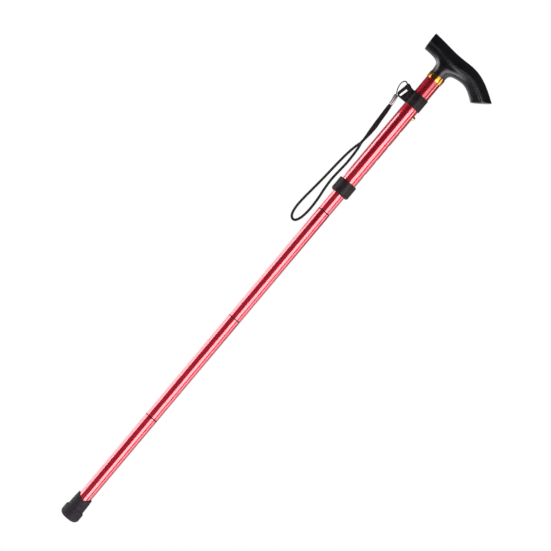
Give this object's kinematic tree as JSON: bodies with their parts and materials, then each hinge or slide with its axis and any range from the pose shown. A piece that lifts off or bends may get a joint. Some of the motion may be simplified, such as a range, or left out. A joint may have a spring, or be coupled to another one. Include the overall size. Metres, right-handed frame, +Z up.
{
  "type": "folding walking cane",
  "caption": "Folding walking cane with a derby handle, red anodised shaft sections joined by elastic cord, a locking collar with a snap button for height, a wrist strap and a rubber ferrule.",
  "frame": {"origin": "centre of the ferrule's ground face", "axes": "+Z up the shaft, +X towards the tail of the handle, on the side of the height holes; the strap's lug is on -X"},
  "size_m": [0.113, 0.0276, 0.8109],
  "materials": {
    "handle_plastic": "near-black moulded grip, satin gloss",
    "moulded_plastic": "black moulded, matt",
    "joint_plastic": "dark moulded, matt",
    "red_anodised": "polished, anodised red",
    "gold": "polished, gold coloured",
    "steel": "plain steel",
    "rubber": "black rubber",
    "black_cord": "braided cord",
    "webbing": "woven tape",
    "crimp": "ribbed, satin"
  },
  "bodies": {
    "upper_section": {"handle_grip": "handle_plastic", "handle_stem": "joint_plastic", "handle_bolt": "steel", "gold_ring": "gold", "outer_tube": "red_anodised", "strap_band": "moulded_plastic", "split_bush": "joint_plastic"},
    "locking_collar": {"locking_collar": "moulded_plastic"},
    "inner_section": {"inner_tube": "red_anodised", "inner_tube_cap": "joint_plastic", "top_anchor": "joint_plastic", "top_anchor_pin": "steel", "top_cord_stop": "steel", "elastic_cord_1": "black_cord", "joint_plug_1": "joint_plastic"},
    "snap_button": {"snap_button": "steel"},
    "link_1": {"elastic_link_1": "black_cord"},
    "section_2": {"tube_2": "red_anodised", "elastic_cord_2": "black_cord", "joint_plug_2": "joint_plastic"},
    "link_2": {"elastic_link_2": "black_cord"},
    "section_3": {"tube_3": "red_anodised", "elastic_cord_3": "black_cord", "joint_plug_3": "joint_plastic"},
    "link_3": {"elastic_link_3": "black_cord"},
    "section_4": {"tube_4": "red_anodised", "elastic_cord_4": "black_cord", "tip_anchor": "joint_plastic", "tip_anchor_pin": "steel", "tip_cord_stop": "steel", "ferrule_washer": "steel", "rubber_ferrule": "rubber"},
    "wrist_strap": {"lanyard_string": "black_cord", "strap_crimp": "crimp", "strap_webbing": "webbing", "strap_loop": "black_cord"}
  },
  "joints": [
    {"name": "height_adjust", "type": "slide", "parent": "upper_section", "child": "inner_section", "axis": [0, 0, -1], "range_m": [0, 0.1]},
    {"name": "button_press", "type": "slide", "parent": "inner_section", "child": "snap_button", "axis": [-1, 0, 0], "range_m": [0, 0.0045], "stiffness_N_per_m": 800, "springref_m": -0.003, "deforming": ["snap_button"]},
    {"name": "collar_turn", "type": "hinge", "parent": "upper_section", "child": "locking_collar", "pos_m": [0, 0, 0.5632], "axis": [0, 0, 1], "range_deg": [0, 180]},
    {"name": "pull_1", "type": "slide", "parent": "inner_section", "child": "link_1", "axis": [0, 0, -1], "range_m": [0, 0.02], "stiffness_N_per_m": 200, "springref_m": -0.05, "deforming": ["elastic_link_1"]},
    {"name": "fold_1", "type": "hinge", "parent": "link_1", "child": "section_2", "pos_m": [0, 0.014, 0.5332], "axis": [1, 0, 0], "range_deg": [0, 180], "stiffness_Nm_per_rad": 0.05, "springref_deg": -114.59},
    {"name": "pull_2", "type": "slide", "parent": "section_2", "child": "link_2", "axis": [0, 0, -1], "range_m": [0, 0.02], "stiffness_N_per_m": 200, "springref_m": -0.05, "deforming": ["elastic_link_2"]},
    {"name": "fold_2", "type": "hinge", "parent": "link_2", "child": "section_3", "pos_m": [0, -0.014, 0.347], "axis": [-1, 0, 0], "range_deg": [0, 180], "stiffness_Nm_per_rad": 0.05, "springref_deg": -114.59},
    {"name": "pull_3", "type": "slide", "parent": "section_3", "child": "link_3", "axis": [0, 0, -1], "range_m": [0, 0.02], "stiffness_N_per_m": 200, "springref_m": -0.05, "deforming": ["elastic_link_3"]},
    {"name": "fold_3", "type": "hinge", "parent": "link_3", "child": "section_4", "pos_m": [0.014, 0, 0.175], "axis": [0, -1, 0], "range_deg": [0, 180], "stiffness_Nm_per_rad": 0.05, "springref_deg": -114.59},
    {"name": "strap_swing", "type": "hinge", "parent": "upper_section", "child": "wrist_strap", "pos_m": [-0.019, 0, 0.7286], "axis": [0, 1, 0], "range_deg": [0, 80]}
  ]
}
